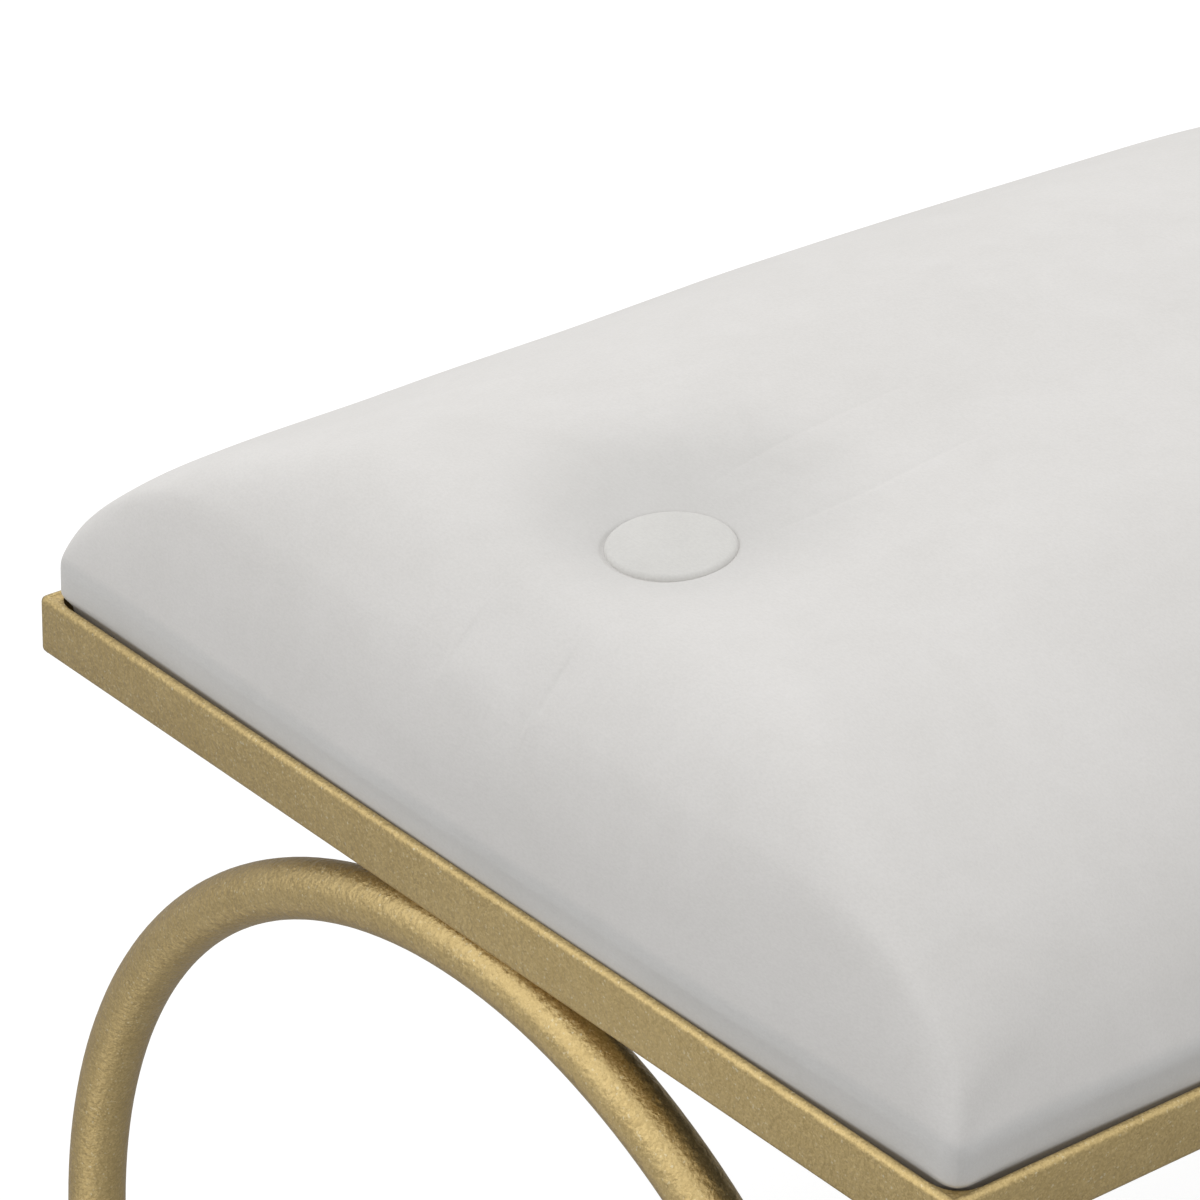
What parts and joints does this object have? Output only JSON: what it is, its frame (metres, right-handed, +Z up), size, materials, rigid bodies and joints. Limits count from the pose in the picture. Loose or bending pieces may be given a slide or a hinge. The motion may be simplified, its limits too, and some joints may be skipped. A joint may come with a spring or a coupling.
{
  "type": "padded stool",
  "caption": "Padded stool with a buttoned, crowned cushion set in an angle-steel frame on two arched tube legs.",
  "frame": {"origin": "on the floor under the middle of the seat", "axes": "+Z up, X along the long sides of the seat, Y across it from front to back"},
  "size_m": [0.5688, 0.425, 0.457],
  "materials": {
    "gold_paint": "satin champagne-gold powder coat with a fine sparkle",
    "cream_velvet": "short-nap cream velvet",
    "white_wadding": "soft white polyester wadding",
    "foam": "open-cell upholstery foam",
    "plywood": "unfinished plywood",
    "black_cloth": "black non-woven dust cloth",
    "twine": "waxed upholstery twine",
    "zinc": "zinc-plated steel",
    "black_plastic": "matte moulded plastic"
  },
  "bodies": {
    "root": {"end_rail_left": "gold_paint", "end_rail_right": "gold_paint", "side_rail_front": "gold_paint", "side_rail_back": "gold_paint", "corner_weld_front_left": "gold_paint", "corner_weld_front_right": "gold_paint", "corner_weld_back_left": "gold_paint", "corner_weld_back_right": "gold_paint", "arch_leg_left": "gold_paint", "arch_leg_right": "gold_paint", "crown_weld_left": "gold_paint", "crown_weld_right": "gold_paint", "foot_glide_front_left": "black_plastic", "foot_glide_front_right": "black_plastic", "foot_glide_back_left": "black_plastic", "foot_glide_back_right": "black_plastic", "seat_board": "plywood", "foam_pad": "foam", "wadding_wrap": "white_wadding", "seat_cover": "cream_velvet", "tuft_button_left": "cream_velvet", "tuft_button_right": "cream_velvet", "button_twine_left": "twine", "button_twine_right": "twine", "twine_washer_left": "zinc", "twine_washer_right": "zinc", "dust_cover": "black_cloth", "side_screw_front_left": "zinc", "side_screw_front_right": "zinc", "side_screw_back_left": "zinc", "side_screw_back_right": "zinc", "end_screw_left_front": "zinc", "end_screw_left_back": "zinc", "end_screw_right_front": "zinc", "end_screw_right_back": "zinc"}
  },
  "joints": []
}
